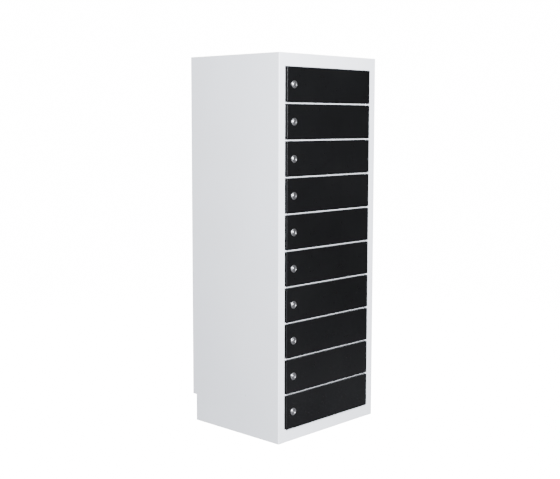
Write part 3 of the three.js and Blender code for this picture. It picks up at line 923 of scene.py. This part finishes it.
# ---- Studio ----
def floor():
    """A pale floor that fades out into the white surround."""
    bm = bmesh.new()
    bmesh.ops.create_circle(bm, cap_ends=True, segments=96, radius=12)
    ground = new_object("floor", bm)
    ground.location.z = -0.5 * MM
    material, nodes, links = new_material("pale_floor")
    shader = nodes["Principled BSDF"]
    shader.inputs["Base Color"].default_value = (0.12, 0.12, 0.125, 1)
    shader.inputs["Roughness"].default_value = 0.8
    shader.inputs["Specular IOR Level"].default_value = 0.1
    seen = nodes.new("ShaderNodeLightPath")
    glow = nodes.new("ShaderNodeEmission")
    lift = nodes.new("ShaderNodeMath")
    lift.operation = "MULTIPLY"
    lift.inputs[1].default_value = FLOOR_GLOW
    links.new(seen.outputs["Is Camera Ray"], lift.inputs[0])
    links.new(lift.outputs["Value"], glow.inputs["Strength"])
    lit = nodes.new("ShaderNodeAddShader")
    links.new(shader.outputs["BSDF"], lit.inputs[0])
    links.new(glow.outputs["Emission"], lit.inputs[1])
    place = nodes.new("ShaderNodeTexCoord")
    distance = nodes.new("ShaderNodeVectorMath")
    distance.operation = "LENGTH"
    links.new(place.outputs["Object"], distance.inputs[0])
    fade = nodes.new("ShaderNodeMapRange")
    fade.interpolation_type = "SMOOTHSTEP"
    fade.inputs["From Min"].default_value = 0.5
    fade.inputs["From Max"].default_value = 2.5
    links.new(distance.outputs["Value"], fade.inputs["Value"])
    clear = nodes.new("ShaderNodeBsdfTransparent")
    mix = nodes.new("ShaderNodeMixShader")
    links.new(fade.outputs["Result"], mix.inputs["Fac"])
    links.new(lit.outputs["Shader"], mix.inputs[1])
    links.new(clear.outputs["BSDF"], mix.inputs[2])
    links.new(mix.outputs["Shader"], nodes["Material Output"].inputs["Surface"])
    ground.data.materials.append(material)


def surround():
    """White behind the object, and a softer light from all round it."""
    world = bpy.data.worlds.new("studio")
    bpy.context.scene.world = world
    world.use_nodes = True
    nodes, links = world.node_tree.nodes, world.node_tree.links
    glow = nodes["Background"]
    glow.inputs["Color"].default_value = (0.96, 0.98, 1, 1)
    glow.inputs["Strength"].default_value = ROOM_LIGHT
    backdrop = nodes.new("ShaderNodeBackground")
    backdrop.inputs["Strength"].default_value = BACKDROP
    seen = nodes.new("ShaderNodeLightPath")
    mix = nodes.new("ShaderNodeMixShader")
    links.new(seen.outputs["Is Camera Ray"], mix.inputs["Fac"])
    links.new(glow.outputs["Background"], mix.inputs[1])
    links.new(backdrop.outputs["Background"], mix.inputs[2])
    links.new(mix.outputs["Shader"], nodes["World Output"].inputs["Surface"])


def soft_box(name, place, target, width, height, power, colour=(1, 1, 1)):
    """An area light at place that faces target."""
    data = bpy.data.lights.new(name, "AREA")
    data.shape = "RECTANGLE"
    data.size = width
    data.size_y = height
    data.energy = power
    data.color = colour
    lamp = bpy.data.objects.new(name, data)
    bpy.context.scene.collection.objects.link(lamp)
    lamp.location = place
    lamp.rotation_mode = "QUATERNION"
    lamp.rotation_quaternion = (Vector(target) - Vector(place)).to_track_quat("-Z", "Y")


def camera():
    """Stands to the left of the front corner, a little above the middle, and looks slightly down."""
    data = bpy.data.cameras.new("camera")
    data.sensor_width = 36
    data.lens = 64.51
    data.shift_y = -0.0304
    eye = bpy.data.objects.new("camera", data)
    bpy.context.scene.collection.objects.link(eye)
    target = Vector((LEFT + 4.1 * MM, FRONT, 0.5752 * HEIGHT))
    azimuth, elevation, roll = (math.radians(angle) for angle in (-46.478, 5.809, 0.128))
    away = Vector((
        math.sin(azimuth) * math.cos(elevation),
        -math.cos(azimuth) * math.cos(elevation),
        math.sin(elevation),
    ))
    eye.location = target + 2.5273 * HEIGHT * away
    eye.rotation_mode = "QUATERNION"
    eye.rotation_quaternion = (-away).to_track_quat("-Z", "Y") @ Quaternion((0, 0, 1), roll)
    bpy.context.scene.camera = eye


FLOOR_GLOW = 18
ROOM_LIGHT = 0.12
BACKDROP = 20

camera()
side_panel("side_panel_left", LEFT, 1, OPENING_LEFT - LEFT)
side_panel("side_panel_right", RIGHT, -1, RIGHT - OPENING_RIGHT)
top_panel()
base_panel()
partition_panel()
back_panel()
cover_screws()
hinge_rod()
shelf_pieces()
for door_number in TWO_DIGITS:
    door_and_lock(door_number)
    usb_socket(door_number)
power_supply()
mains_inlet()
wiring()
floor()
surround()
soft_box("key_light", (-1.35, -2.2, 1.5), (0, 0, 0.64), 1.2, 1.5, 415, (0.945, 0.96, 1))
soft_box("side_light", (-2.9, 2.3, 1.5), (0, 0, 0.7), 2.0, 2.0, 34, (0.86, 0.93, 1))
soft_box("rear_light", (0.6, 3.0, 1.9), (0, 0, 0.5), 2.0, 1.8, 110)
soft_box("right_light", (3.0, 0.9, 1.7), (0, 0, 0.5), 1.8, 1.8, 110)
